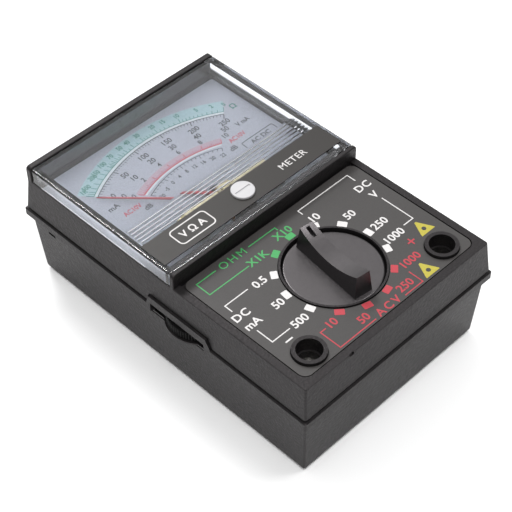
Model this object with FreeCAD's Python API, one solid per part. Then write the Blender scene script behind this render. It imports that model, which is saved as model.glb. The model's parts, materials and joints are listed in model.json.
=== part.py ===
"""Pocket analog multimeter: a two-piece case, a moving-coil meter under a clear cover,
a thirteen-way range switch, two test-lead jacks and a thumbwheel for the ohm zero.

Millimetres. X runs across the case, Y from the jacks (-Y) to the meter (+Y), Z up.
The origin is the middle of the flat base. Each function makes one node or one small group.
"""
import FreeCAD
import Part
import math
import os

V = FreeCAD.Vector
UP = V(0, 0, 1)

# ---- case ------------------------------------------------------------------------------
TOP_X, TOP_Y = 32.0, 49.0          # half width and half length of the flat top
SEAM_X, SEAM_Y = 32.9, 49.9        # upper shell just above the seam
RIM_X, RIM_Y = 33.4, 50.4          # raised band round the lower shell's rim
WALL_X, WALL_Y = 32.2, 49.2        # lower wall just under the band
FOOT_X, FOOT_Y = 31.05, 48.05      # lower wall just above the bottom round
SEAM_Z = 22.4
BAND_Z = 20.2                      # lower edge of the band
GROOVE, GROOVE_Z = 0.45, 0.35      # shadow groove between the shells: depth and height
LINE_Z, LINE_H, LINE_DEPTH = 18.2, 0.55, 0.3       # thin groove round the wall, under the band
INNER_X, INNER_Y = 30.6, 47.6      # inside of the upper shell's walls
TOP_Z = 32.5                       # flat top of the switch section
LIP_Z = 36.8                       # top of the two lips that hold the meter cover
WALL = 1.8
FLOOR_Z = 1.8
BOTTOM_ROUND = 1.4
CORNER_R = 0.55
RIM_CHAMFER = 0.25
EDGE_ROUND = 0.25
LIP_FRONT_Y = -5.75                # front face of the meter section
FRONT_LIP_T, BACK_LIP_T = 1.3, 1.8
LIP_END_R = 1.1                    # round at the lips' upper ends
DECK_Z = 30.2                      # underside of the switch section's top wall

# ---- faceplate, knob and jacks -----------------------------------------------------------
RECESS_Z = 31.6
PLATE_X, PLATE_Y0, PLATE_Y1 = 29.6, -46.6, -6.15
PLATE_TOP_Z = 32.45
PLATE_R = 2.2
GAP = 0.3                          # gap round the faceplate
KNOB_Y = -27.6
COLLAR_R, COLLAR_BORE_R = 13.3, 12.75
COLLAR_Z = 32.85
DISC_R = 12.4
DISC_TOP_Z, DISC_Z = 32.0, 29.9
HUB_R = 4.0
HANDLE_TURN = -7.0                 # the handle's heading from +Y, degrees
HANDLE_TOP_Z = 38.5
HANDLE_HALF_L, HANDLE_FOOT_L = 10.45, 11.0
HANDLE_HALF_W, HANDLE_FOOT_W = 1.95, 2.7
SADDLE_DIP = 2.5
POSITIONS = 13
JACK_X, JACK_Y = 23.2, -41.7
JACK_R, JACK_COLLAR_R, JACK_COLLAR_Z = 3.25, 4.26, 33.3
JACK_STEP_R, JACK_STEP_Z = 2.75, 29.4      # the well narrows at a step
SOCKET_BORE_R, SOCKET_R = 2.05, 3.1
SOCKET_Z, SOCKET_TOP_Z = 19.0, 26.5

# ---- meter cover, dial and movement --------------------------------------------------------
COVER_X, COVER_Y0, COVER_Y1 = 31.8, -4.4, 47.1
COVER_WALL, COVER_T = 2.2, 1.3     # thickness of its sides and of its top
COVER_BACK_T = 0.8                 # the cover's wall against the back lip
COVER_Z, COVER_TOP_Z = 31.05, 36.6
COVER_ROUND = 0.55
SKIRT_X = 31.2                     # the part of the cover that stands in its seat
FLUTE_Y0, FLUTE_STEP, FLUTE_DEPTH = 7.2, 1.2, 0.35
FLUTES = 6                         # ridges moulded under the cover, behind the label strip
STRIP_X, STRIP_Y0, STRIP_Y1 = 30.5, -1.6, 7.0
STRIP_T = 0.2
ZERO_Y, ZERO_R = 3.2, 3.1
ZERO_STEM_R, ZERO_THROW = 1.5, 0.9
SEAT_Z = 31.0                      # ledge that the cover stands on
DIAL_X, DIAL_Y0, DIAL_Y1 = 30.2, -1.8, 46.2
DIAL_Z, DIAL_T = 28.9, 0.4
PIVOT_Y = 8.1
NEEDLE_REST = 43.6                 # degrees left of +Y at zero
NEEDLE_L = 33.7
NEEDLE_Z, NEEDLE_T = 30.0, 0.35
CORE_R, YOKE_IN_R, YOKE_R = 5.6, 8.2, 10.2
CORE_Z0, CORE_Z1 = 15.8, 24.6
COIL_IN_R, COIL_OUT_R, COIL_W = 6.1, 7.7, 3.0
COIL_Z0, COIL_Z1, COIL_BAR = 13.6, 26.9, 1.5
STAFF_R, PIVOT_R, JEWEL_R = 0.6, 0.3, 1.6
BRIDGE_SCREW_X, BRIDGE_SCREW_Y = 13.0, 4.8
MOVEMENT_SCREW_AT = [(x, y) for y in (1.0, 36.0) for x in (-27.6, 27.6)]

# ---- circuit board, wheel, cell ------------------------------------------------------------
PCB_Z, PCB_T = 17.4, 1.6
PCB_TOP = PCB_Z + PCB_T
WHEEL_X, WHEEL_Y, WHEEL_R = -25.5, -7.5, 8.5
WHEEL_Z0, WHEEL_Z1 = 19.8, 22.1
WHEEL_TEETH, TOOTH_DEPTH, TOOTH_HALF_W = 72, 0.35, 0.24
SLOT_Y0, SLOT_Y1, SLOT_Z0, SLOT_Z1 = -17.0, 1.9, 19.3, 22.9
ARCH = [(3.4, 22.0), (2.4, 25.1), (-17.6, 25.1), (-19.5, 22.0)]     # (y, z) of the raised band
LEDGE_R = 8.9
SNAP_Y0, SNAP_Y1, SNAP_Z0, SNAP_Z1 = 40.4, 43.2, 16.7, 17.5         # small windows in the lower walls
CELL_R, CELL_L = 7.25, 49.3
CELL_Y, CELL_Z = -38.0, 9.3
SCREW_AT = [(x, y) for y in (-25.5, 43.0) for x in (-26.0, 26.0)]
BOSS_R, SCREW_R, SCREW_HEAD_R = 3.1, 1.4, 2.6
HEAD_SEAT_Z = 3.0
POT_PINS = [(WHEEL_X + dx, WHEEL_Y + dy) for dx, dy in ((3.6, -3.2), (3.6, 3.2), (-3.4, 0))]
RESISTOR_R, RESISTOR_L = 1.15, 6.3
RESISTOR_AT = [(x, y) for y in (-21.5, -18.5, -15.5) for x in (-14.0, 14.5)] + [(0.5, -15.8)]
DIODE_R, DIODE_L = 0.9, 4.2
DIODE_AT = [(0.5, -21.2), (0.5, -18.6)]
LEAD_X = 4.6                       # a component's leads, each side of its middle
FUSE_X, FUSE_Y, FUSE_R, FUSE_HALF, FUSE_CAP = 4.0, -11.2, 2.6, 10.0, 5.0
FUSE_Z = PCB_Z - 0.9 - FUSE_R
METER_LEAD_X = 6.0
METER_LEAD = [(-7.4, PCB_Z - 0.1), (-7.4, 9.5), (-3.5, 6.5), (3.5, 6.0), (7.2, 7.0), (7.2, 10.1)]

os.makedirs("parts", exist_ok=True)


# ---- small tools ---------------------------------------------------------------------------
def box(x0, x1, y0, y1, z0, z1):
    return Part.makeBox(x1 - x0, y1 - y0, z1 - z0, V(x0, y0, z0))


def cyl(x, y, z0, z1, r):
    return Part.makeCylinder(r, z1 - z0, V(x, y, z0))


def cyl_x(x0, x1, y, z, r):
    return Part.makeCylinder(r, x1 - x0, V(x0, y, z), V(1, 0, 0))


def cone(x, y, z0, z1, r0, r1):
    return Part.makeCone(r0, r1, z1 - z0, V(x, y, z0))


def tube(x, y, z0, z1, r_in, r_out):
    return cyl(x, y, z0, z1, r_out).cut(cyl(x, y, z0, z1, r_in))


def tube_x(x0, x1, y, z, r_in, r_out):
    return cyl_x(x0, x1, y, z, r_out).cut(cyl_x(x0, x1, y, z, r_in))


def turned(shape, degrees, x=0.0, y=0.0):
    out = shape.copy()
    out.rotate(V(x, y, 0), UP, degrees)
    return out


def mirrored_x(shape):
    return shape.mirror(V(0, 0, 0), V(1, 0, 0))


def round_rect(x0, x1, y0, y1, r, z):
    """A closed wire: a rectangle with corner arcs, at height z."""
    k = r * (1 - math.sqrt(0.5))
    p = [V(x0 + r, y0, z), V(x1 - r, y0, z), V(x1, y0 + r, z), V(x1, y1 - r, z),
         V(x1 - r, y1, z), V(x0 + r, y1, z), V(x0, y1 - r, z), V(x0, y0 + r, z)]
    mids = [V(x1 - k, y0 + k, z), V(x1 - k, y1 - k, z), V(x0 + k, y1 - k, z), V(x0 + k, y0 + k, z)]
    edges = []
    for i in range(4):
        a, b, c = p[2 * i], p[2 * i + 1], p[(2 * i + 2) % 8]
        edges.append(Part.makeLine(a, b))
        edges.append(Part.Arc(b, mids[i], c).toShape())
    return Part.Wire(edges)


def plate(x0, x1, y0, y1, z0, z1, r):
    return Part.Face(round_rect(x0, x1, y0, y1, r, z0)).extrude(V(0, 0, z1 - z0))


def stack(sections):
    """A solid through rounded rectangles (half x, half y, corner radius, z), with flat sides."""
    wires = [round_rect(-hx, hx, -hy, hy, r, z) for hx, hy, r, z in sections]
    return Part.makeLoft(wires, True, True)


def prism_x(points, x0, x1):
    """A polygon of (y, z) points extruded from x0 to x1."""
    ring = [V(x0, y, z) for y, z in points]
    return Part.Face(Part.makePolygon(ring + ring[:1])).extrude(V(x1 - x0, 0, 0))


def prism_z(points, z0, z1):
    """A polygon of (x, y) points extruded from z0 to z1."""
    ring = [V(x, y, z0) for x, y in points]
    return Part.Face(Part.makePolygon(ring + ring[:1])).extrude(V(0, 0, z1 - z0))


def fuse(shapes):
    out = shapes[0].multiFuse(shapes[1:]) if len(shapes) > 1 else shapes[0]
    return out.removeSplitter()


def cut(shape, tools):
    return shape.cut(Part.makeCompound(tools)) if len(tools) == 1 else shape.cut(tools)


def wire_tube(points, r):
    """A round wire along straight runs joined by tangent arcs."""
    pts = [V(*p) for p in points]
    edges, start = [], pts[0]
    for a, b, c in zip(pts, pts[1:], pts[2:]):
        u, w = (a - b).normalize(), (c - b).normalize()
        half_turn = (math.pi - u.getAngle(w)) / 2
        set_back = 0.45 * min((a - b).Length, (c - b).Length)
        bend_r = set_back / math.tan(half_turn)
        inward = (u + w).normalize()
        centre = b + inward * math.hypot(set_back, bend_r)
        edges.append(Part.makeLine(start, b + u * set_back))
        edges.append(Part.Arc(b + u * set_back, centre - inward * bend_r, b + w * set_back).toShape())
        start = b + w * set_back
    edges.append(Part.makeLine(start, pts[-1]))
    section = Part.Wire(Part.makeCircle(r, pts[0], pts[1] - pts[0]))
    return Part.Wire(edges).makePipeShell([section], True, False)


def save(name, shape):
    solids = shape.Solids
    out = solids[0] if len(solids) == 1 else Part.makeCompound(solids)
    out.exportStep("parts/" + name + ".step")
    volume = sum(s.Volume for s in solids)
    print(name, "solids", len(solids), "volume", round(volume, 2), "valid", out.isValid())


# ---- case ------------------------------------------------------------------------------------
def lower_sections():
    """The lower shell's outline: round bottom edge, sloped wall, band at the rim."""
    steps = 4
    out = []
    for i in range(steps + 1):
        a = math.pi / 2 * i / steps
        drop = BOTTOM_ROUND * (1 - math.sin(a))
        z = BOTTOM_ROUND * (1 - math.cos(a))
        out.append((FOOT_X - drop, FOOT_Y - drop, CORNER_R, z))
    lean = (WALL_X - FOOT_X) / (BAND_Z - BOTTOM_ROUND)
    for dz, dent in ((0, 0), (0.1, LINE_DEPTH), (LINE_H - 0.1, LINE_DEPTH), (LINE_H, 0)):
        drop = lean * (BAND_Z - LINE_Z - dz) + dent
        out.append((WALL_X - drop, WALL_Y - drop, CORNER_R, LINE_Z + dz))
    band = [(WALL_X, WALL_Y, BAND_Z - 0.5), (RIM_X, RIM_Y, BAND_Z),
            (RIM_X, RIM_Y, SEAM_Z - RIM_CHAMFER), (RIM_X - RIM_CHAMFER, RIM_Y - RIM_CHAMFER, SEAM_Z)]
    return out + [(half_x, half_y, CORNER_R, z) for half_x, half_y, z in band]


def tapered_box(sections):
    """A solid through plain rectangles (half x, half y, z)."""
    wires = []
    for half_x, half_y, z in sections:
        ring = [V(sx * half_x, sy * half_y, z) for sx, sy in ((-1, -1), (1, -1), (1, 1), (-1, 1))]
        wires.append(Part.makePolygon(ring + ring[:1]))
    return Part.makeLoft(wires, True, True)


def lower_shell():
    outer = stack(lower_sections())
    # scoop under the thumbwheel: a cone that blends into the wall, with a thin ledge on top
    ledge_z = SLOT_Z0 - 0.5
    scoop = fuse([cone(WHEEL_X, WHEEL_Y, 16.0, ledge_z, 6.6, LEDGE_R),
                  cyl(WHEEL_X, WHEEL_Y, ledge_z, SLOT_Z0, LEDGE_R)])
    arch = prism_x(ARCH, -RIM_X, -RIM_X + WALL)
    outer = outer.fuse(scoop.common(box(-40, -30, -30, 20, 10, 22))).fuse(arch)
    inner = tapered_box([(FOOT_X - WALL, FOOT_Y - WALL, FLOOR_Z), (WALL_X - WALL, WALL_Y - WALL, BAND_Z),
                         (WALL_X - WALL, WALL_Y - WALL, SEAM_Z + 1)])
    shell = outer.cut(inner)
    bosses = []
    for x, y in SCREW_AT:
        top = PCB_Z - 0.1 if y < 0 else 15.9
        bosses += [cyl(x, y, 0.5, HEAD_SEAT_Z + 1.8, SCREW_HEAD_R + 1.8), cyl(x, y, 1, top, BOSS_R)]
    # the cell's trough: two ribs along it, and a saddle rib at each end
    ribs = [box(-27, 27, CELL_Y + CELL_R + 0.5, CELL_Y + CELL_R + 1.5, 1, 8.5)]
    saddle_bore = cyl_x(-30, 30, CELL_Y, CELL_Z, CELL_R + 0.15)
    for x in (-16.0, 15.0):
        rib = box(x, x + 1.2, CELL_Y - CELL_R, CELL_Y + CELL_R + 1, 1, 5.5)
        ribs.append(rib.cut(saddle_bore))
    # posts that carry the circuit board's far corners
    posts = [cyl(x, -11.5, 1, PCB_Z - 0.1, 1.6) for x in (-13.0, 26.5)]
    # guides for the two battery contacts
    for x0, x1 in ((-30.4, -28.2), (26.6, 30.4)):
        for y in (CELL_Y - 6.2, CELL_Y + 5.2):
            guide = box(x0, x1, y, y + 1.0, 1, 14)
            ribs.append(guide.common(tapered_box([(FOOT_X - 0.5, FOOT_Y - 0.5, 1),
                                                  (WALL_X - 0.5, WALL_Y - 0.5, BAND_Z)])))
    shell = fuse([shell] + bosses + ribs + posts)
    holes = []
    for x, y in SCREW_AT:
        holes += [cyl(x, y, -1, HEAD_SEAT_Z, SCREW_HEAD_R + 0.3), cyl(x, y, 0, 22, SCREW_R + 0.25)]
    wheel_room = cyl(WHEEL_X, WHEEL_Y, SLOT_Z0, SLOT_Z1, WHEEL_R + 0.5)
    slot = box(-RIM_X - 2, -RIM_X + 4, SLOT_Y0, SLOT_Y1, SLOT_Z0, SLOT_Z1)
    snap = box(-RIM_X - 1, -WALL_X + 0.9, SNAP_Y0, SNAP_Y1, SNAP_Z0, SNAP_Z1)
    shell = cut(shell, holes + [slot, wheel_room, snap, mirrored_x(snap)])
    return shell


def lip(y0, thick):
    """An upright rail that holds one end of the meter cover, with well rounded upper ends."""
    bar = box(-TOP_X, TOP_X, y0, y0 + thick, TOP_Z - 2.0, LIP_Z)
    ends = [e for e in bar.Edges if e.BoundBox.ZMin > LIP_Z - 0.1 and e.BoundBox.XLength < 0.1]
    bar = bar.makeFillet(LIP_END_R, ends)
    crest = [e for e in bar.Edges if e.BoundBox.ZMin > LIP_Z - 0.1 and e.BoundBox.XLength > 10]
    return bar.makeFillet(0.35, crest)


def upper_shell():
    soft = EDGE_ROUND * (1 - math.sqrt(0.5))
    outer = stack([(SEAM_X - GROOVE, SEAM_Y - GROOVE, CORNER_R, SEAM_Z),
                   (SEAM_X - GROOVE, SEAM_Y - GROOVE, CORNER_R, SEAM_Z + GROOVE_Z),
                   (SEAM_X, SEAM_Y, CORNER_R, SEAM_Z + GROOVE_Z + 0.15),
                   (TOP_X, TOP_Y, CORNER_R, TOP_Z - EDGE_ROUND),
                   (TOP_X - soft, TOP_Y - soft, CORNER_R, TOP_Z - soft),
                   (TOP_X - EDGE_ROUND, TOP_Y - EDGE_ROUND, CORNER_R, TOP_Z)])
    shell = fuse([outer, lip(LIP_FRONT_Y, FRONT_LIP_T), lip(TOP_Y - BACK_LIP_T, BACK_LIP_T)])
    # rooms: the switch section, the meter section, the cover's seat and its window
    rooms = [box(-INNER_X, INNER_X, -INNER_Y, LIP_FRONT_Y - 0.15, SEAM_Z - 1, DECK_Z),
             box(-INNER_X, INNER_X, LIP_FRONT_Y - 0.5, -3.0, SEAM_Z - 1, 24.0),
             box(-INNER_X, INNER_X, -3.9, 47.1, SEAM_Z - 1, 28.0),
             box(-DIAL_X - 0.2, DIAL_X + 0.2, -2.9, DIAL_Y1 + 0.2, 27.0, SEAT_Z + 0.1),
             box(-SKIRT_X - 0.1, SKIRT_X + 0.1, COVER_Y0 - 0.05, COVER_Y1 + 0.1, SEAT_Z, TOP_Z + 0.5),
             box(-TOP_X - 1, TOP_X + 1, COVER_Y0 - 0.05, COVER_Y1 + 0.1, TOP_Z, LIP_Z + 1)]
    shell = cut(shell, rooms)
    # recess for the faceplate, open towards the meter section's front wall
    recess = plate(-PLATE_X - GAP, PLATE_X + GAP, PLATE_Y0 - GAP, LIP_FRONT_Y + 4, RECESS_Z, TOP_Z + 1,
                   PLATE_R + GAP)
    recess = recess.common(box(-40, 40, -60, LIP_FRONT_Y, 30, 40))
    shell = shell.cut(recess)
    # knob well with its collar, bearing sleeve and detent ring
    adds = [cyl(0, KNOB_Y, 28.4, COLLAR_Z, COLLAR_R), cyl(0, KNOB_Y, 24.0, 28.6, 6.0),
            tube(0, KNOB_Y, 27.0, 28.6, 8.6, 11.4)]
    for s in (-1, 1):
        adds.append(cyl(s * JACK_X, JACK_Y, 24.5, RECESS_Z, 4.9))
        adds.append(cyl(s * JACK_X, JACK_Y, 31.0, JACK_COLLAR_Z, JACK_COLLAR_R))
    for x, y in SCREW_AT:
        low, high = (PCB_TOP + 0.1, DECK_Z + 0.5) if y < 0 else (16.0, 26.8)
        adds.append(cyl(x, y, low, high, BOSS_R))
        reach = INNER_X + 1 if x > 0 else -INNER_X - 1
        adds.append(box(min(x, reach), max(x, reach), y - 0.8, y + 0.8, SEAM_Z + 0.3, high))
    # a tongue that stands inside the lower shell's rim
    tongue = plate(-30.25, 30.25, -47.25, 47.25, SEAM_Z - 1.4, SEAM_Z + 0.3, CORNER_R)
    tongue = tongue.cut(plate(-29.5, 29.5, -46.5, 46.5, SEAM_Z - 2, SEAM_Z + 1, CORNER_R))
    foot = plate(-31.0, 31.0, -48.0, 48.0, SEAM_Z, SEAM_Z + 0.5, CORNER_R)
    foot = foot.cut(plate(-29.5, 29.5, -46.5, 46.5, SEAM_Z - 2, SEAM_Z + 1, CORNER_R))
    shell = fuse([shell, tongue, foot] + adds)
    holes = [cyl(0, KNOB_Y, 29.6, LIP_Z, COLLAR_BORE_R), cyl(0, KNOB_Y, 20, 31, HUB_R + 0.05)]
    for i in range(POSITIONS):
        a = math.radians(90 + i * 360 / POSITIONS)
        holes.append(Part.makeSphere(1.3, V(10 * math.cos(a), KNOB_Y + 10 * math.sin(a), 26.1)))
    for s in (-1, 1):
        holes.append(cyl(s * JACK_X, JACK_Y, JACK_STEP_Z, LIP_Z, JACK_R))
        holes.append(cyl(s * JACK_X, JACK_Y, 20, LIP_Z, JACK_STEP_R))
        holes.append(cyl(s * JACK_X, JACK_Y, 20, SOCKET_TOP_Z + 0.05, JACK_R))
    for x, y in SCREW_AT:
        holes.append(cyl(x, y, 10, 25.5, SCREW_R + 0.05))
    # room for the thumbwheel and for the lower shell's raised band
    grown = [(ARCH[0][0] + 0.35, 21.5), (ARCH[0][0] + 0.3, SEAM_Z), (ARCH[1][0] + 0.3, ARCH[1][1] + 0.3),
             (ARCH[2][0] - 0.2, ARCH[2][1] + 0.3), (ARCH[3][0] - 0.3, SEAM_Z), (ARCH[3][0] - 0.35, 21.5)]
    holes.append(prism_x(grown, -RIM_X - 1, -RIM_X + WALL + 0.25))
    holes.append(cyl(WHEEL_X, WHEEL_Y, SEAM_Z - 2, SLOT_Z1 + 0.2, WHEEL_R + 0.6))
    holes.append(box(-32, -27, SLOT_Y0 - 3.4, SLOT_Y1 + 1.8, SEAM_Z - 2, SEAM_Z))
    # small gate mark on the front edge of the top
    holes.append(box(-17.6, -16.2, -50, -48.65, 31.8, 33))
    return cut(shell, holes)


def faceplate():
    sheet = plate(-PLATE_X, PLATE_X, PLATE_Y0, PLATE_Y1, RECESS_Z + 0.05, PLATE_TOP_Z, PLATE_R)
    holes = [cyl(0, KNOB_Y, 30, 34, COLLAR_R + 0.15)]
    holes += [cyl(s * JACK_X, JACK_Y, 30, 34, JACK_COLLAR_R + 0.15) for s in (-1, 1)]
    return cut(sheet, holes)


def meter_cover():
    """A clear cap, flush with the case's sides, with a skirt in its seat and flutes underneath."""
    low = TOP_Z + 0.06
    outer = plate(-COVER_X, COVER_X, COVER_Y0, COVER_Y1, low, COVER_TOP_Z, 0.7)
    rim = [e for e in outer.Edges if e.BoundBox.ZMin > COVER_TOP_Z - 0.01]
    outer = outer.makeFillet(COVER_ROUND, rim)
    skirt = plate(-SKIRT_X, SKIRT_X, COVER_Y0, COVER_Y1, COVER_Z, low + 0.5, 0.5)
    ceiling, side = COVER_TOP_Z - COVER_T, COVER_X - COVER_WALL
    room = plate(-side, side, COVER_Y0 + COVER_WALL, COVER_Y1 - COVER_BACK_T, COVER_Z - 1, ceiling, 0.5)
    zigzag = [(FLUTE_Y0, ceiling + 0.2)]
    for i in range(FLUTES):
        y = FLUTE_Y0 + i * FLUTE_STEP
        zigzag += [(y, ceiling), (y + FLUTE_STEP / 2, ceiling - FLUTE_DEPTH)]
    y_end = FLUTE_Y0 + FLUTES * FLUTE_STEP
    zigzag += [(y_end, ceiling), (y_end, ceiling + 0.2)]
    body = fuse([outer, skirt]).cut(room)
    body = fuse([body, prism_x(zigzag, 0.6 - side, side - 0.6)])
    return body.cut(cyl(0, ZERO_Y, 30, 40, ZERO_STEM_R + 0.06))


def label_strip():
    strip = plate(-STRIP_X, STRIP_X, STRIP_Y0, STRIP_Y1, COVER_TOP_Z, COVER_TOP_Z + STRIP_T, 0.2)
    return strip.cut(cyl(0, ZERO_Y, 30, 40, ZERO_STEM_R + 0.3))


def case_screws():
    """Pan-head self-tapping screws, driven up from the base, with cross recesses."""
    out = []
    tip = 24.5
    for x, y in SCREW_AT:
        body = fuse([cyl(x, y, 1.1, HEAD_SEAT_Z, SCREW_HEAD_R), cyl(x, y, 2.5, tip - 1, SCREW_R),
                     cone(x, y, tip - 1, tip, SCREW_R, 0.4)])
        cross = [box(x - 1.5, x + 1.5, y - 0.3, y + 0.3, 1.0, 2.2),
                 box(x - 0.3, x + 0.3, y - 1.5, y + 1.5, 1.0, 2.2)]
        out.append(cut(body, cross))
    return Part.makeCompound(out)


# ---- range switch -----------------------------------------------------------------------------
def knob_handle():
    """A tapered bar across the disc, with a hollowed top and a pointer slot."""
    def ring(half_w, half_l, z):
        p = [V(-half_w, KNOB_Y - half_l, z), V(half_w, KNOB_Y - half_l, z),
             V(half_w, KNOB_Y + half_l, z), V(-half_w, KNOB_Y + half_l, z)]
        return Part.makePolygon(p + p[:1])
    bar = Part.makeLoft([ring(HANDLE_FOOT_W, HANDLE_FOOT_L, DISC_TOP_Z - 0.3),
                         ring(HANDLE_HALF_W, HANDLE_HALF_L, HANDLE_TOP_Z)], True, True)
    saddle_r = (HANDLE_HALF_L ** 2 + SADDLE_DIP ** 2) / (2 * SADDLE_DIP)
    saddle = Part.makeCylinder(saddle_r, 12, V(-6, KNOB_Y, HANDLE_TOP_Z - SADDLE_DIP + saddle_r), V(1, 0, 0))
    bar = bar.cut(saddle)
    slot = box(-0.55, 0.55, KNOB_Y + HANDLE_HALF_L - 3.4, KNOB_Y + HANDLE_HALF_L - 0.5,
               HANDLE_TOP_Z - 2.2, HANDLE_TOP_Z + 1)
    return bar.cut(slot)


def selector_knob():
    disc = cyl(0, KNOB_Y, DISC_Z, DISC_TOP_Z, DISC_R)
    rim = [e for e in disc.Edges if e.BoundBox.ZMin > DISC_TOP_Z - 0.01]
    disc = disc.makeFillet(0.5, rim)
    hub = fuse([cyl(0, KNOB_Y, PCB_TOP + 1.6, DISC_Z + 0.5, HUB_R), cyl(0, KNOB_Y, PCB_Z - 0.4, 21, 3.0)])
    body = fuse([disc, knob_handle(), hub])
    body = body.cut(cyl(0, KNOB_Y, PCB_Z - 1, PCB_Z + 5, 1.05))
    return turned(body, HANDLE_TURN, 0, KNOB_Y)


def switch_rotor():
    z0, z1 = 20.8, 22.2
    disc = cyl(0, KNOB_Y, z0, z1, 11.2)
    posts = [cyl(0, KNOB_Y + s * 10, z1 - 0.5, 26.0, 1.9) for s in (-1, 1)]
    body = fuse([disc.common(box(-11.3, 11.3, KNOB_Y - 12, KNOB_Y + 12, z0, z1))] + posts)
    body = body.common(cyl(0, KNOB_Y, z0, 27, 11.9))
    holes = [cyl(0, KNOB_Y, z0 - 1, z1 + 1, HUB_R + 0.02)]
    holes += [cyl(0, KNOB_Y + s * 10, z1, 27, 1.3) for s in (-1, 1)]
    return turned(cut(body, holes), HANDLE_TURN, 0, KNOB_Y)


def wiper_contacts():
    """Spring-brass leaf under the rotor: a hub ring and two fingers with contact dimples."""
    z0, z1 = 20.35, 20.7
    leaf = fuse([tube(0, KNOB_Y, z0, z1, 4.6, 6.4), box(-1.1, 1.1, KNOB_Y + 5, KNOB_Y + 10.4, z0, z1)])
    domes = []
    for r in (7.0, 9.5):
        dome = Part.makeSphere(1.25, V(0, KNOB_Y + r, z0)).common(box(-2, 2, -60, 0, z0 - 1.2, z0 + 0.1))
        domes.append(dome)
    return turned(fuse([leaf] + domes), HANDLE_TURN, 0, KNOB_Y)


def detent_balls():
    balls = [Part.makeSphere(1.2, V(0, KNOB_Y + s * 10, 25.75)) for s in (-1, 1)]
    return turned(Part.makeCompound(balls), HANDLE_TURN, 0, KNOB_Y)


def coil_spring(x, y, z0, z1, r, wire_r, turns):
    """A helix of wire: a ruled solid through eight-sided sections, twelve to a turn."""
    steps = 12 * turns
    sections = []
    for i in range(steps + 1):
        a = 2 * math.pi * i / 12
        out = V(math.cos(a), math.sin(a), 0)
        middle = V(x, y, z0 + wire_r + (z1 - z0 - 2 * wire_r) * i / steps) + out * r
        ring = []
        for k in range(8):
            b = k * math.pi / 4
            ring.append(middle + out * (wire_r * math.cos(b)) + UP * (wire_r * math.sin(b)))
        sections.append(Part.makePolygon(ring + ring[:1]))
    return Part.makeLoft(sections, True, True)


def detent_springs():
    springs = [coil_spring(0, KNOB_Y + s * 10, 22.25, 24.5, 0.9, 0.15, 4) for s in (-1, 1)]
    return turned(Part.makeCompound(springs), HANDLE_TURN, 0, KNOB_Y)


def rotor_screw():
    z = PCB_Z - 0.4
    body = fuse([cyl(0, KNOB_Y, z - 0.6, z - 0.05, 4.2), cyl(0, KNOB_Y, z - 1.6, z - 0.5, 2.1),
                 cyl(0, KNOB_Y, z - 1, z + 4.5, 1.0)])
    return body.cut(box(-1.6, 1.6, KNOB_Y - 0.25, KNOB_Y + 0.25, z - 2, z - 1.1))


# ---- ohm-adjust potentiometer -------------------------------------------------------------------
def ohm_wheel():
    """Knurled thumbwheel: V-grooves round the rim, a shallow dish and a slotted hub."""
    wheel = cyl(WHEEL_X, WHEEL_Y, WHEEL_Z0, WHEEL_Z1, WHEEL_R)
    outside = WHEEL_R + 0.3
    grooves = []
    for i in range(WHEEL_TEETH):
        notch = prism_z([(WHEEL_R - TOOTH_DEPTH, 0), (outside, -2 * TOOTH_HALF_W),
                         (outside, 2 * TOOTH_HALF_W)], WHEEL_Z0 - 1, WHEEL_Z1 + 1)
        notch.translate(V(WHEEL_X, WHEEL_Y, 0))
        grooves.append(turned(notch, i * 360 / WHEEL_TEETH, WHEEL_X, WHEEL_Y))
    dish = tube(WHEEL_X, WHEEL_Y, WHEEL_Z1 - 0.5, WHEEL_Z1 + 1, 2.6, 6.8)
    body = cut(wheel, grooves + [dish])
    return body.fuse(cyl(WHEEL_X, WHEEL_Y, PCB_TOP + 0.25, WHEEL_Z0 + 0.1, 1.4)).removeSplitter()


def pot_body():
    base = cyl(WHEEL_X, WHEEL_Y, PCB_TOP, WHEEL_Z0 - 0.25, 4.6)
    room = tube(WHEEL_X, WHEEL_Y, PCB_TOP + 0.3, WHEEL_Z0, 1.9, 4.1)
    pins = [cyl(x, y, PCB_Z - 0.8, PCB_TOP + 0.1, 0.4) for x, y in POT_PINS]
    body = fuse([base] + pins)
    return cut(body, [room, cyl(WHEEL_X, WHEEL_Y, PCB_TOP + 0.2, WHEEL_Z0, 1.46)])


# ---- meter movement ---------------------------------------------------------------------------
def dial_plate():
    sheet = plate(-DIAL_X, DIAL_X, DIAL_Y0, DIAL_Y1, DIAL_Z, DIAL_Z + DIAL_T, 0.8)
    holes = [cyl(0, PIVOT_Y, 28, 31, 4.3), box(-4.3, 4.3, -3, PIVOT_Y, 28, 31)]
    holes += [cyl(s * BRIDGE_SCREW_X, BRIDGE_SCREW_Y, 28, 31, 0.85) for s in (-1, 1)]
    return cut(sheet, holes)


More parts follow.
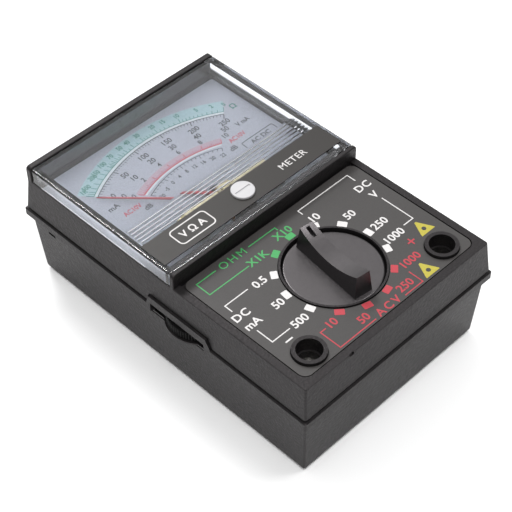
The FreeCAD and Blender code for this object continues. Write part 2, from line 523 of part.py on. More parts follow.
def movement_frame():
    """Moulded frame: a plate under the dial and a round skirt that holds the yoke."""
    deck = plate(-29.4, 29.4, -2.4, 45.6, DIAL_Z - 1.7, DIAL_Z - 0.05, 1.0)
    skirt = tube(0, PIVOT_Y, 9.0, DIAL_Z - 1.0, YOKE_R + 0.05, YOKE_R + 1.3)
    shoulder = tube(0, PIVOT_Y, 12.2, CORE_Z0 - 1.0, YOKE_IN_R + 0.7, YOKE_R + 0.3)
    ribs = [box(s * 20 - 0.7, s * 20 + 0.7, 0, 40, DIAL_Z - 4.5, DIAL_Z - 1.5) for s in (-1, 1)]
    body = fuse([deck, skirt, shoulder] + ribs)
    holes = [cyl(0, PIVOT_Y, 24.9, 31, YOKE_IN_R + 0.6), box(-4.6, 4.6, -3, PIVOT_Y, 26.5, 31)]
    holes += [cyl(s * BRIDGE_SCREW_X, BRIDGE_SCREW_Y, 24, 31, 0.8) for s in (-1, 1)]
    holes += [box(-YOKE_R - 2, -6.5, PIVOT_Y - 2, PIVOT_Y + 2, 8.5, 12.0),
              box(6.5, YOKE_R + 2, PIVOT_Y - 2, PIVOT_Y + 2, 8.5, 12.0)]
    holes += [cyl(x, y, 24, 31, 1.3) for x, y in MOVEMENT_SCREW_AT]
    return cut(body, holes)


def movement_posts(shell):
    """Four blocks on the side walls of the upper shell that the movement's frame is screwed to."""
    blocks = [box(min(x, x * 1.12), max(x, x * 1.12), y - 2.4, y + 2.4, 23.6, DIAL_Z - 1.75)
              for x, y in MOVEMENT_SCREW_AT]
    blocks += [cyl(x, y, 23.6, DIAL_Z - 1.75, 2.4) for x, y in MOVEMENT_SCREW_AT]
    shell = fuse([shell] + blocks)
    return cut(shell, [cyl(x, y, 24.2, 30, 0.95) for x, y in MOVEMENT_SCREW_AT])


def movement_screws():
    out = []
    for x, y in MOVEMENT_SCREW_AT:
        out.append(fuse([cyl(x, y, 24.4, DIAL_Z - 0.1, 0.9), cyl(x, y, DIAL_Z - 1.0, DIAL_Z - 0.1, 1.25)]))
    return Part.makeCompound(out)


def yoke_ring():
    ring = tube(0, PIVOT_Y, CORE_Z0 - 1.0, CORE_Z1, YOKE_IN_R, YOKE_R)
    notches = [box(-1.55, 1.55, PIVOT_Y + s * 9 - 3, PIVOT_Y + s * 9 + 3, 18.8, 21.7) for s in (-1, 1)]
    keep = cyl(0, PIVOT_Y, 10, 30, YOKE_R - 0.8)
    return cut(ring, [n.common(keep) for n in notches])


def core_magnet():
    core = cyl(0, PIVOT_Y, CORE_Z0, CORE_Z1, CORE_R)
    return core.cut(box(-1.55, 1.55, PIVOT_Y - 8, PIVOT_Y + 8, 18.8, 21.7))


def core_bridge():
    bar = box(-1.5, 1.5, PIVOT_Y - 9.3, PIVOT_Y + 9.3, 18.85, 21.65)
    return bar.common(cyl(0, PIVOT_Y, 10, 30, YOKE_R - 0.85))


def lower_bridge():
    bar = box(-YOKE_R - 1.2, YOKE_R + 1.2, PIVOT_Y - 1.9, PIVOT_Y + 1.9, 10.2, 11.9)
    return bar.cut(cyl(0, PIVOT_Y, 9, 13, JEWEL_R + 0.02))


def upper_bridge():
    bar = box(-13.9, 13.9, PIVOT_Y - 1.75, PIVOT_Y + 1.6, 31.9, 32.9)
    legs = [box(s * 13.9 - (0.9 if s > 0 else 0), s * 13.9 + (0.9 if s < 0 else 0),
                PIVOT_Y - 1.75, PIVOT_Y + 1.6, DIAL_Z + DIAL_T + 0.02, 32.5) for s in (-1, 1)]
    feet = [box(s * 14.9 - (3.4 if s > 0 else 0), s * 14.9 + (3.4 if s < 0 else 0),
                3.2, PIVOT_Y + 1.6, DIAL_Z + DIAL_T + 0.02, DIAL_Z + DIAL_T + 0.8) for s in (-1, 1)]
    # two posts that the needle's tail stops against
    stops = []
    for side in (-1, 1):
        heading = math.radians(180 + side * (NEEDLE_REST + 15.0))
        x, y = 6.0 * math.sin(heading), PIVOT_Y + 6.0 * math.cos(heading)
        stops.append(cyl(x, y, NEEDLE_Z - 0.2, 32.1, 0.35))
        stops.append(box(x - 0.5, x + 0.5, y - 0.4, PIVOT_Y, 31.9, 32.4))
    body = fuse([bar] + legs + feet + stops)
    holes = [cyl(0, PIVOT_Y, 30, 35, JEWEL_R + 0.02)]
    holes += [cyl(s * BRIDGE_SCREW_X, BRIDGE_SCREW_Y, 28, 31, 0.85) for s in (-1, 1)]
    return cut(body, holes)


def jewel_screw(z0, z1, mouth_up):
    body = cyl(0, PIVOT_Y, z0, z1, JEWEL_R)
    if mouth_up:
        pit = cyl(0, PIVOT_Y, z1 - 1.0, z1 + 1, PIVOT_R + 0.05)
        slot = box(-2, 2, PIVOT_Y - 0.25, PIVOT_Y + 0.25, z0 - 1, z0 + 0.5)
    else:
        pit = cyl(0, PIVOT_Y, z0 - 1, z0 + 0.9, PIVOT_R + 0.05)
        slot = box(-2, 2, PIVOT_Y - 0.25, PIVOT_Y + 0.25, z1 - 0.4, z1 + 1)
    return cut(body, [pit, slot])


def bridge_screws():
    out = []
    for s in (-1, 1):
        x, y, z = s * BRIDGE_SCREW_X, BRIDGE_SCREW_Y, DIAL_Z + DIAL_T + 0.85
        screw = fuse([cyl(x, y, 26.5, z, 0.75), cyl(x, y, z, z + 0.6, 1.35)])
        out.append(screw.cut(box(x - 2, x + 2, y - 0.2, y + 0.2, z + 0.35, z + 1)))
    return Part.makeCompound(out)


def hairspring(z0, z1, r0, r1, turns):
    """A flat spiral strip, built as short arcs that each turn half a circle."""
    step = (r1 - r0) / (2 * turns)
    strips, r, side = [], r0, 1
    thick = 0.12
    for i in range(int(2 * turns)):
        x = (step / 2) * (i % 2)
        y0 = PIVOT_Y if side > 0 else PIVOT_Y - 10
        strips.append(tube(x, PIVOT_Y, z0, z1, r, r + thick).common(box(-10, 10, y0, y0 + 10, z0, z1)))
        r, side = r + step / 2, -side
    return fuse(strips)


def moving(shape):
    """Turn a piece of the moving coil from its mid-scale pose to the needle's rest."""
    return turned(shape, NEEDLE_REST, 0, PIVOT_Y)


def coil_box(inner_r, outer_r, half_w, z0, z1, bar):
    outer = box(-outer_r, outer_r, PIVOT_Y - half_w, PIVOT_Y + half_w, z0, z1)
    return outer.cut(box(-inner_r, inner_r, PIVOT_Y - 5, PIVOT_Y + 5, z0 + bar, z1 - bar))


def coil_former():
    """Aluminium frame that the wire is wound on."""
    frame = coil_box(COIL_IN_R, COIL_IN_R + 0.25, COIL_W / 2, COIL_Z0 + COIL_BAR - 0.25,
                     COIL_Z1 - COIL_BAR + 0.25, 0.25)
    return moving(frame)


def moving_coil():
    winding = coil_box(COIL_IN_R + 0.27, COIL_OUT_R, COIL_W / 2 - 0.1, COIL_Z0, COIL_Z1, COIL_BAR - 0.27)
    return moving(winding)


def staff_pivots():
    upper = fuse([cyl(0, PIVOT_Y, COIL_Z1, 27.4, 1.6), cyl(0, PIVOT_Y, 27.0, 31.15, STAFF_R),
                  cyl(0, PIVOT_Y, 31, 31.9, PIVOT_R)])
    lower = fuse([cyl(0, PIVOT_Y, 13.35, COIL_Z0, 1.6), cyl(0, PIVOT_Y, 12.0, 13.5, PIVOT_R)])
    return Part.makeCompound([upper, lower])


def needle():
    z0, z1 = NEEDLE_Z, NEEDLE_Z + NEEDLE_T
    y = PIVOT_Y
    blade = prism_z([(-0.55, y + 0.5), (-0.28, y + 14), (-0.14, y + NEEDLE_L - 1.5), (0, y + NEEDLE_L),
                     (0.14, y + NEEDLE_L - 1.5), (0.28, y + 14), (0.55, y + 0.5)], z0, z1)
    tail = box(-0.4, 0.4, y - 6.8, y, z0, z1)
    arms = box(-4.8, 4.8, y - 0.25, y + 0.25, z0, z1)
    hub = cyl(0, y, z0 - 0.3, z1 + 0.4, 1.25)
    body = fuse([blade, tail, arms, hub]).cut(cyl(0, y, 20, 35, STAFF_R + 0.02))
    return moving(body)


def balance_weights():
    z = NEEDLE_Z + NEEDLE_T / 2
    weights = [tube_x(s * 3.9 - 0.7, s * 3.9 + 0.7, PIVOT_Y, z, 0.32, 0.62) for s in (-1, 1)]
    tail = Part.makeCylinder(0.75, 1.8, V(0, PIVOT_Y - 6.6, z), V(0, 1, 0))
    tail = tail.cut(Part.makeCylinder(0.46, 1.8, V(0, PIVOT_Y - 6.6, z), V(0, 1, 0)))
    return moving(Part.makeCompound(weights + [tail]))


def zero_screw():
    """Round white cap on the label strip, its stem through the cover and an eccentric pin."""
    z = COVER_TOP_Z + STRIP_T + 0.05
    cap = cyl(0, ZERO_Y, z, z + 0.6, ZERO_R)
    rim = [e for e in cap.Edges if e.BoundBox.ZMin > z + 0.5]
    cap = cap.makeFillet(0.25, rim)
    stem = cyl(0, ZERO_Y, COVER_TOP_Z - COVER_T - 0.1, z + 0.1, ZERO_STEM_R)
    pin = cyl(0, ZERO_Y + ZERO_THROW, 33.0, COVER_TOP_Z - COVER_T, 0.5)
    body = fuse([cap, stem, pin])
    return body.cut(box(-2.4, 2.4, ZERO_Y - 0.3, ZERO_Y + 0.3, z + 0.32, z + 1))


def zero_arm():
    """Fork on the upper jewel that carries the hairspring's outer end."""
    z0, z1 = 33.0, 33.35
    body = fuse([cyl(0, PIVOT_Y, z0, z1, 2.7), box(-1.65, 1.65, 2.6, PIVOT_Y, z0, z1)])
    slot = box(-0.8, 0.8, 2.0, PIVOT_Y - 2.9, z0 - 1, z1 + 1)
    return cut(body, [slot, cyl(0, PIVOT_Y, z0 - 1, z1 + 1, JEWEL_R + 0.08)])


# ---- circuit board and what is on it -------------------------------------------------------------
def pcb():
    board = fuse([box(-29.2, 29.2, -46.4, -6.4, PCB_Z, PCB_TOP),
                  box(-29.2, -18.5, -9, -1.6, PCB_Z, PCB_TOP)])
    holes = [cyl(0, KNOB_Y, 15, 22, 3.08)]
    holes += [cyl(x, y, 15, 22, SCREW_R + 0.4) for x, y in SCREW_AT if y < 0]
    holes += [cyl(s * JACK_X, JACK_Y, 15, 22, 1.0) for s in (-1, 1)]
    holes += [cyl(x, y, 15, 22, 0.45) for x, y in POT_PINS]
    for x, y in RESISTOR_AT + DIODE_AT:
        holes += [cyl(x + s * LEAD_X, y, 15, 22, 0.4) for s in (-1, 1)]
    return cut(board, holes)


def axial_part(x, y, r, length):
    """A component lying under the board, with two bent leads up into it."""
    z = PCB_Z - 0.5 - r
    body = cyl_x(x - length / 2, x + length / 2, y, z, r)
    ends = [e for e in body.Edges if e.BoundBox.XLength < 0.01]
    body = body.makeFillet(0.3 * r, ends)
    leads = [cyl_x(x - LEAD_X, x + LEAD_X, y, z, 0.28)]
    leads += [cyl(x + s * LEAD_X, y, z - 0.28, PCB_TOP, 0.28) for s in (-1, 1)]
    return fuse([body] + leads)


def switch_tracks():
    """Copper ring and contact pads of the range switch, on top of the board."""
    z0, z1 = PCB_TOP, PCB_TOP + 0.06
    pads = [tube(0, KNOB_Y, z0, z1, 6.3, 7.7)]
    ring = tube(0, KNOB_Y, z0, z1, 8.6, 10.4)
    width = 360 / POSITIONS - 7
    for i in range(POSITIONS):
        a0 = 90 + i * 360 / POSITIONS - width / 2
        p = [(0, KNOB_Y)] + [(13 * math.cos(math.radians(a0 + width * k / 2)),
                              KNOB_Y + 13 * math.sin(math.radians(a0 + width * k / 2))) for k in range(3)]
        pads.append(ring.common(prism_z(p, z0, z1)))
    return Part.makeCompound(pads)


def jack_socket(side):
    x = side * JACK_X
    body = fuse([cyl(x, JACK_Y, SOCKET_Z, SOCKET_TOP_Z, SOCKET_R),
                 cyl(x, JACK_Y, PCB_Z - 0.4, SOCKET_Z + 0.1, 0.9),
                 cyl(x, JACK_Y, SOCKET_Z, SOCKET_Z + 1, 4.0)])
    mouth = cone(x, JACK_Y, SOCKET_TOP_Z - 0.4, SOCKET_TOP_Z, SOCKET_BORE_R, SOCKET_BORE_R + 0.4)
    return cut(body, [cyl(x, JACK_Y, SOCKET_Z + 1, SOCKET_TOP_Z + 1, SOCKET_BORE_R), mouth])


def fuse_glass():
    return tube_x(FUSE_X - FUSE_HALF + 0.3, FUSE_X + FUSE_HALF - 0.3, FUSE_Y, FUSE_Z, 1.9, 2.4)


def fuse_caps():
    caps = []
    for s in (-1, 1):
        end, lip, inside = (FUSE_X + s * d for d in (FUSE_HALF, FUSE_HALF - FUSE_CAP, FUSE_HALF - 0.3))
        cap = cyl_x(min(end, lip), max(end, lip), FUSE_Y, FUSE_Z, FUSE_R)
        far = FUSE_X + s
        caps.append(cap.cut(cyl_x(min(inside, far), max(inside, far), FUSE_Y, FUSE_Z, 2.43)))
    return Part.makeCompound(caps)


def fuse_clips():
    """Two spring clips under the board: a base and two cheeks that hold a fuse cap."""
    clips = []
    r = FUSE_R + 0.03
    for s in (-1, 1):
        x = FUSE_X + s * (FUSE_HALF - FUSE_CAP / 2)
        clip = [box(x - 1.6, x + 1.6, FUSE_Y - r - 0.4, FUSE_Y + r + 0.4, PCB_Z - 0.5, PCB_Z - 0.05)]
        for side in (-1, 1):
            y = FUSE_Y + side * (r + 0.2)
            clip.append(box(x - 1.6, x + 1.6, y - 0.2, y + 0.2, FUSE_Z - 1.6, PCB_Z - 0.05))
        clips.append(fuse(clip))
    return Part.makeCompound(clips)


# ---- cell and contacts -------------------------------------------------------------------------
def cell():
    x0, x1 = -CELL_L / 2 - 0.3, CELL_L / 2 - 0.3
    can = cyl_x(x0, x1, CELL_Y, CELL_Z, CELL_R)
    ends = [e for e in can.Edges if e.BoundBox.XLength < 0.01]
    can = can.makeFillet(0.6, ends)
    return fuse([can, cyl_x(x1 - 0.5, x1 + 1.2, CELL_Y, CELL_Z, 2.7)])


def plate_contact():
    x = CELL_L / 2 - 0.3 + 1.25
    body = box(x, x + 0.4, CELL_Y - 5.0, CELL_Y + 5.0, 3.4, 14.4)
    tab = box(x, x + 0.4, CELL_Y - 1.2, CELL_Y + 1.2, 14.0, PCB_Z - 0.05)
    return fuse([body, tab])


def spring_contact():
    x = -CELL_L / 2 - 0.35
    plate_x = -28.1
    spring = coil_spring(0, 0, 0, -plate_x + x - 0.05, 3.0, 0.3, 3)
    spring.rotate(V(0, 0, 0), V(0, 1, 0), 90)
    spring.translate(V(plate_x + 0.02, CELL_Y, CELL_Z))
    back = box(plate_x - 0.4, plate_x, CELL_Y - 5.0, CELL_Y + 5.0, 3.4, 14.4)
    tab = box(plate_x - 0.4, plate_x, CELL_Y - 1.2, CELL_Y + 1.2, 14.0, PCB_Z - 0.05)
    return spring, fuse([back, tab])


def meter_leads():
    """Two insulated wires from the board, under the movement, up to its lower bridge."""
    paths = [[(s * METER_LEAD_X, y, z) for y, z in METER_LEAD] for s in (-1, 1)]
    return Part.makeCompound([wire_tube(path, 0.5) for path in paths])


# ---- build --------------------------------------------------------------------------------------
save("lower_shell", lower_shell())
save("upper_shell", movement_posts(upper_shell()))
save("faceplate", faceplate())
save("meter_cover", meter_cover())
save("label_strip", label_strip())
save("case_screws", case_screws())

save("selector_knob", selector_knob())
save("switch_rotor", switch_rotor())
save("wiper_contacts", wiper_contacts())
save("detent_balls", detent_balls())
save("detent_springs", detent_springs())
save("rotor_screw", rotor_screw())

save("ohm_adjust_wheel", ohm_wheel())
save("pot_body", pot_body())

save("dial_plate", dial_plate())
save("movement_frame", movement_frame())
save("movement_screws", movement_screws())
save("yoke_ring", yoke_ring())
save("core_magnet", core_magnet())
save("core_bridge", core_bridge())
save("lower_bridge", lower_bridge())
save("upper_bridge", upper_bridge())
save("bridge_screws", bridge_screws())
save("lower_jewel_screw", jewel_screw(9.4, 12.7, True))
save("upper_jewel_screw", jewel_screw(31.2, 34.0, False))
save("lower_hairspring", hairspring(12.85, 13.2, 1.0, 4.0, 4))
save("upper_hairspring", hairspring(31.2, 31.5, 1.9, 4.2, 3))

save("coil_former", coil_former())
save("moving_coil", moving_coil())
save("staff_pivots", staff_pivots())
save("needle", needle())
save("balance_weights", balance_weights())

save("zero_adjust_screw", zero_screw())
save("zero_arm", zero_arm())

save("circuit_board", pcb())
save("switch_tracks", switch_tracks())
save("resistors", Part.makeCompound([axial_part(x, y, RESISTOR_R, RESISTOR_L) for x, y in RESISTOR_AT]))
save("diodes", Part.makeCompound([axial_part(x, y, DIODE_R, DIODE_L) for x, y in DIODE_AT]))
save("jack_socket_minus", jack_socket(-1))
save("jack_socket_plus", jack_socket(1))
save("fuse_glass", fuse_glass())
save("fuse_caps", fuse_caps())
save("fuse_clips", fuse_clips())

save("battery_cell", cell())
save("battery_plate_contact", plate_contact())
battery_spring, spring_plate = spring_contact()
save("battery_spring", battery_spring)
save("battery_spring_plate", spring_plate)
save("meter_leads", meter_leads())
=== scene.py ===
"""Looks of the pocket analog multimeter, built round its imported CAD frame. Metres, +Z up.

Every CAD node keeps its mesh and gets a procedural finish. Print is thin raised ink: each letter,
tick and line is a closed solid a few hundredths of a millimetre thick. Lengths are in millimetres
and are multiplied by MM where they are used, except on the stage, which is in metres.
"""
import json
import math

import bmesh
import bpy
from mathutils import Matrix, Vector


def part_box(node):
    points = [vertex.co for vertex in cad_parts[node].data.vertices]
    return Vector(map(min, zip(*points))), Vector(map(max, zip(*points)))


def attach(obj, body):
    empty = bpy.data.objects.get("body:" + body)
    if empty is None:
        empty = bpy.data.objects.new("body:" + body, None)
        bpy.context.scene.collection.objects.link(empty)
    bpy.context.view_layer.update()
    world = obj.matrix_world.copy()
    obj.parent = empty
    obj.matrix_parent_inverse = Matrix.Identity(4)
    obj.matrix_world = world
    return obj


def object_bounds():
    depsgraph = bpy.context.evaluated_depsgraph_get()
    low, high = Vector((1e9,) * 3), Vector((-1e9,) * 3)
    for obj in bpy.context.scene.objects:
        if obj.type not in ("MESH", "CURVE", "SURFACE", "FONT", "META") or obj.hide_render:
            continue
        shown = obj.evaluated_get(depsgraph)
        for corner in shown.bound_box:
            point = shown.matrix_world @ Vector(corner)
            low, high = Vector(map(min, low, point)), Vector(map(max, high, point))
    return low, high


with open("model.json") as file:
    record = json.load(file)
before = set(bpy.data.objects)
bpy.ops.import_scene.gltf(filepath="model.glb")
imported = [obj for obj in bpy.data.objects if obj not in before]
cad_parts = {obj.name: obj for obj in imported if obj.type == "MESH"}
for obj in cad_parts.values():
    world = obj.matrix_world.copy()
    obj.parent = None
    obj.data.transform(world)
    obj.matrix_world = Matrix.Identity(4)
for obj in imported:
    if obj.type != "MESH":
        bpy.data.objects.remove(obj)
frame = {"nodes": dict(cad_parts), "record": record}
cad_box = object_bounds()

MM = 0.001

# ---- places taken from the frame (millimetres) -------------------------------------------------


def node_box(node):
    """Lowest and highest corner of a CAD node, in millimetres."""
    low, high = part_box(node)
    return low / MM, high / MM


def node_middle_y(node):
    low, high = node_box(node)
    return (low.y + high.y) / 2


PANEL_Z = node_box("faceplate")[1].z
DIAL_Z = node_box("dial_plate")[1].z
STRIP_Z = node_box("label_strip")[1].z
STRIP_Y = node_middle_y("label_strip")
KNOB_Y = node_middle_y("switch_tracks")
PIVOT_Y = node_middle_y("yoke_ring")

# A layer is the bottom and the top of a printed solid.
INK = 0.03                       # thickness of one print
PANEL_LAYER = (PANEL_Z, PANEL_Z + INK)
DOT_LAYER = (PANEL_Z + INK, PANEL_Z + 1.5 * INK)
DIAL_LAYER = (DIAL_Z, DIAL_Z + INK)
TINT_LAYER = (DIAL_Z, DIAL_Z + INK / 2)
STRIP_LAYER = (STRIP_Z, STRIP_Z + INK)

# ---- colours (linear) ----------------------------------------------------------------------------
WHITE = (0.58, 0.565, 0.56)
GREEN = (0.035, 0.28, 0.075)
RED = (0.38, 0.028, 0.042)
YELLOW = (0.38, 0.33, 0.035)
DIAL_BLACK = (0.03, 0.033, 0.04)
DIAL_GREEN = (0.035, 0.21, 0.165)
DIAL_MINT = (0.36, 0.53, 0.555)
DIAL_RED = (0.50, 0.05, 0.075)
DIAL_PINK = (0.46, 0.33, 0.39)
DIAL_PALE = (0.60, 0.66, 0.67)
DOT_BLACK = (0.03, 0.03, 0.03)
WARM_GLOSS = (1.0, 0.93, 0.955, 1)          # reflections of the black mouldings lean to red
FLOOR_WHITE = (0.90, 0.90, 0.90)


# ---- material building ---------------------------------------------------------------------------
class Shader:
    """A node material: one Principled shader, fed by textures in the piece's own space."""

    def __init__(self, name, colour, roughness, metallic=0.0):
        self.material = bpy.data.materials.new(name)
        self.material.use_nodes = True
        self.tree = self.material.node_tree
        self.surface = self.tree.nodes["Principled BSDF"]
        self.surface.inputs["Base Color"].default_value = (*colour, 1)
        self.surface.inputs["Roughness"].default_value = roughness
        self.surface.inputs["Metallic"].default_value = metallic
        self.place = self.add("ShaderNodeTexCoord").outputs["Object"]

    def add(self, kind, **inputs):
        node = self.tree.nodes.new(kind)
        for key, value in inputs.items():
            node.inputs[key.replace("_", " ")].default_value = value
        return node

    def link(self, source, target):
        self.tree.links.new(source, target)

    def stretched(self, scale):
        """The piece's coordinates, scaled unevenly, for brushed or streaked patterns."""
        node = self.add("ShaderNodeMapping", Scale=scale)
        self.link(self.place, node.inputs["Vector"])
        return node.outputs["Vector"]

    def noise(self, size_mm, detail, where=None):
        node = self.add("ShaderNodeTexNoise", Scale=1 / (size_mm * MM), Detail=detail)
        self.link(where or self.place, node.inputs["Vector"])
        return node.outputs["Fac"]

    def cells(self, size_mm):
        node = self.add("ShaderNodeTexVoronoi", Scale=1 / (size_mm * MM))
        self.link(self.place, node.inputs["Vector"])
        return node.outputs["Distance"]

    def ramp(self, factor, stops):
        """A colour ramp; stops are (position, colour)."""
        node = self.add("ShaderNodeValToRGB")
        band = node.color_ramp
        while len(band.elements) < len(stops):
            band.elements.new(0.5)
        for element, (position, colour) in zip(band.elements, stops):
            element.position = position
            element.color = (*colour, 1)
        self.link(factor, node.inputs["Fac"])
        return node.outputs["Color"]

    def paint(self, output):
        self.link(output, self.surface.inputs["Base Color"])

    def mottle(self, colour, factor, spread):
        """The base colour, a little darker and lighter from place to place."""
        dark = [c * (1 - spread) for c in colour]
        light = [min(1, c * (1 + spread)) for c in colour]
        self.paint(self.ramp(factor, [(0.3, dark), (0.7, light)]))

    def roughen(self, factor, low, high):
        node = self.add("ShaderNodeMapRange", To_Min=low, To_Max=high)
        self.link(factor, node.inputs["Value"])
        self.link(node.outputs["Result"], self.surface.inputs["Roughness"])

    def bump(self, height, depth_mm, strength):
        node = self.add("ShaderNodeBump", Strength=strength, Distance=depth_mm * MM)
        self.link(height, node.inputs["Height"])
        before = self.surface.inputs["Normal"].links
        if before:
            self.link(before[0].from_socket, node.inputs["Normal"])
        self.link(node.outputs["Normal"], self.surface.inputs["Normal"])


def eroded_plastic(name, colour, roughness, grain_mm, depth_mm, gloss):
    """Black moulding from a spark-eroded tool: fine dull pits, slightly uneven gloss."""
    shader = Shader(name, colour, roughness)
    shader.mottle(colour, shader.noise(14.0, 4.0), 0.10)
    shader.roughen(shader.noise(0.9, 5.0), roughness - 0.12, roughness + 0.12)
    shader.bump(shader.noise(grain_mm, 4.0), depth_mm, 0.8)
    shader.bump(shader.cells(grain_mm * 1.7), depth_mm * 0.6, 0.5)
    shader.surface.inputs["Specular IOR Level"].default_value = gloss
    shader.surface.inputs["Specular Tint"].default_value = WARM_GLOSS
    return shader.material


def smooth_plastic(name, colour, roughness, gloss=0.5):
    """Glossy or satin moulding with faint flow marks."""
    shader = Shader(name, colour, roughness)
    shader.mottle(colour, shader.noise(6.0, 3.0), 0.05)
    shader.roughen(shader.noise(2.5, 4.0), roughness - 0.04, roughness + 0.06)
    shader.bump(shader.noise(1.5, 2.0), 0.004, 0.4)
    shader.surface.inputs["Specular IOR Level"].default_value = gloss
    return shader.material


def printed_sheet(name, colour, roughness, grain_mm=0.22):
    """Screen-printed satin sheet with a fine film grain."""
    shader = Shader(name, colour, roughness)
    shader.mottle(colour, shader.noise(grain_mm, 5.0), 0.14)
    shader.roughen(shader.noise(3.0, 3.0), roughness - 0.06, roughness + 0.06)
    shader.bump(shader.noise(grain_mm, 3.0), 0.006, 0.5)
    return shader.material


def ink(name, colour, roughness=0.42):
    """Printing ink: a slightly uneven film."""
    shader = Shader(name, colour, roughness)
    shader.mottle(colour, shader.noise(0.5, 3.0), 0.07)
    shader.bump(shader.noise(0.15, 2.0), 0.004, 0.4)
    return shader.material


def brushed_metal(name, colour, roughness, grain=(1.0, 1.0, 12.0), tarnish=0.14):
    """Metal with directional brush marks and light tarnish."""
    shader = Shader(name, colour, roughness, 1.0)
    streaks = shader.noise(0.35, 4.0, shader.stretched(grain))
    shader.mottle(colour, shader.noise(3.0, 4.0), tarnish)
    shader.roughen(streaks, max(0.03, roughness - 0.1), roughness + 0.12)
    shader.bump(streaks, 0.004, 0.5)
    return shader.material


def clear_plastic(name, tint):
    """Clear polystyrene: polished, with a very faint waviness."""
    shader = Shader(name, tint, 0.03)
    shader.surface.inputs["Transmission Weight"].default_value = 1.0
    shader.surface.inputs["IOR"].default_value = 1.50
    shader.bump(shader.noise(9.0, 1.0), 0.003, 0.3)
    return shader.material


def wound_wire(name, colour):
    """Enamelled winding: turns lie side by side along the coil's height, with painted shade in the grooves
    between turns.
    """
    shader = Shader(name, colour, 0.3, 0.9)
    turns = shader.add("ShaderNodeTexWave", Scale=1 / (0.9 * MM), Distortion=0.4)
    turns.bands_direction = "Z"
    shader.link(shader.place, turns.inputs["Vector"])
    # painted shade: the grooves between turns are coloured at about a third of the wire's colour
    gap_shade = [c * 0.35 for c in colour]
    shader.paint(shader.ramp(turns.outputs["Fac"], [(0.1, gap_shade), (0.6, colour)]))
    shader.bump(turns.outputs["Fac"], 0.05, 0.8)
    return shader.material


def laminate(name, colour):
    """Phenolic paper board with fibre flecks."""
    shader = Shader(name, colour, 0.45)
    fibres = shader.noise(0.7, 6.0, shader.stretched((1.0, 4.0, 1.0)))
    dark = [c * 0.7 for c in colour]
    light = [c * 1.2 for c in colour]
    shader.paint(shader.ramp(fibres, [(0.35, dark), (0.65, light)]))
    shader.bump(fibres, 0.01, 0.3)
    return shader.material


def along_x(name, stops, length_mm, roughness, metallic=0.0):
    """Bands of colour along X, for a cell's jacket or a component's rings."""
    shader = Shader(name, stops[0][1], roughness, metallic)
    split = shader.add("ShaderNodeSeparateXYZ")
    shader.link(shader.place, split.inputs["Vector"])
    half = length_mm * MM / 2
    reach = shader.add("ShaderNodeMapRange", From_Min=-half, From_Max=half)
    shader.link(split.outputs["X"], reach.inputs["Value"])
    colours = shader.ramp(reach.outputs["Result"], stops)
    shader.tree.nodes[-1].color_ramp.interpolation = "CONSTANT"
    shader.paint(colours)
    shader.roughen(shader.noise(2.0, 3.0), roughness - 0.05, roughness + 0.08)
    return shader.material


# part of the length, and the colour from there on
RESISTOR_RINGS = [(0.0, (0.62, 0.48, 0.30)), (0.27, (0.25, 0.05, 0.03)), (0.29, (0.62, 0.48, 0.30)),
                  (0.74, (0.55, 0.35, 0.05)), (0.76, (0.62, 0.48, 0.30))]
CELL_BANDS = [(0.0, (0.55, 0.55, 0.56)), (0.035, (0.05, 0.14, 0.36)), (0.72, (0.72, 0.42, 0.08)),
              (0.965, (0.55, 0.55, 0.56))]

# one finish for each material slot that the record names
MATERIALS = {
    "case_plastic": eroded_plastic("case_plastic", (0.0075, 0.0069, 0.0071), 0.46, 0.55, 0.13, 0.33),
    "faceplate_print": printed_sheet("faceplate_print", (0.034, 0.0310, 0.0300), 0.50),
    "clear_cover": clear_plastic("clear_cover", (0.93, 0.945, 0.975)),
    "strip_print": printed_sheet("strip_print", (0.0120, 0.0096, 0.0078), 0.45),
    "zinc_steel": brushed_metal("zinc_steel", (0.60, 0.60, 0.58), 0.35),
    "knob_plastic": eroded_plastic("knob_plastic", (0.012, 0.0114, 0.0120), 0.36, 0.25, 0.012, 1.0),
    "wheel_plastic": smooth_plastic("wheel_plastic", (0.003, 0.0028, 0.0029), 0.55, 0.12),
    "inner_plastic": smooth_plastic("inner_plastic", (0.05, 0.05, 0.054), 0.45),
    "brass": brushed_metal("brass", (0.62, 0.55, 0.38), 0.32, (1.0, 10.0, 1.0)),
    "bright_steel": brushed_metal("bright_steel", (0.76, 0.76, 0.76), 0.16, tarnish=0.05),
    "spring_steel": brushed_metal("spring_steel", (0.48, 0.48, 0.49), 0.30),
    "dial_print": printed_sheet("dial_print", (0.40, 0.42, 0.475), 0.42, 0.3),
    "magnet": eroded_plastic("magnet", (0.20, 0.20, 0.21), 0.50, 0.5, 0.03, 0.5),
    "bare_aluminium": brushed_metal("bare_aluminium", (0.74, 0.74, 0.75), 0.33, (10.0, 1.0, 1.0), 0.06),
    "bronze_strip": brushed_metal("bronze_strip", (0.66, 0.42, 0.24), 0.28),
    "copper_wire": wound_wire("copper_wire", (0.72, 0.32, 0.15)),
    "needle_red": ink("needle_red", (0.52, 0.075, 0.085), 0.35),
    "white_plastic": smooth_plastic("white_plastic", (0.48, 0.475, 0.485), 0.40, 0.3),
    "board_laminate": laminate("board_laminate", (0.42, 0.27, 0.11)),
    "resistor_body": along_x("resistor_body", RESISTOR_RINGS, 58.0, 0.3),
    "diode_body": smooth_plastic("diode_body", (0.06, 0.045, 0.04), 0.25),
    "nickel_brass": brushed_metal("nickel_brass", (0.68, 0.67, 0.62), 0.22),
    "fuse_tube": clear_plastic("fuse_tube", (0.94, 0.98, 0.96)),
    "cell_jacket": along_x("cell_jacket", CELL_BANDS, 52.0, 0.28, 0.3),
    "lead_insulation": smooth_plastic("lead_insulation", (0.50, 0.04, 0.035), 0.4),
}


def dress_frame():
    """Give every CAD node its finish, by the slot that the record names for it."""
    slots = {part["node"]: part["material_slot"] for part in frame["record"]["subparts"]}
    for node, piece in frame["nodes"].items():
        finish = MATERIALS[slots[node]]
        if not piece.material_slots:
            piece.data.materials.append(finish)
        for place in piece.material_slots:
            place.material = finish


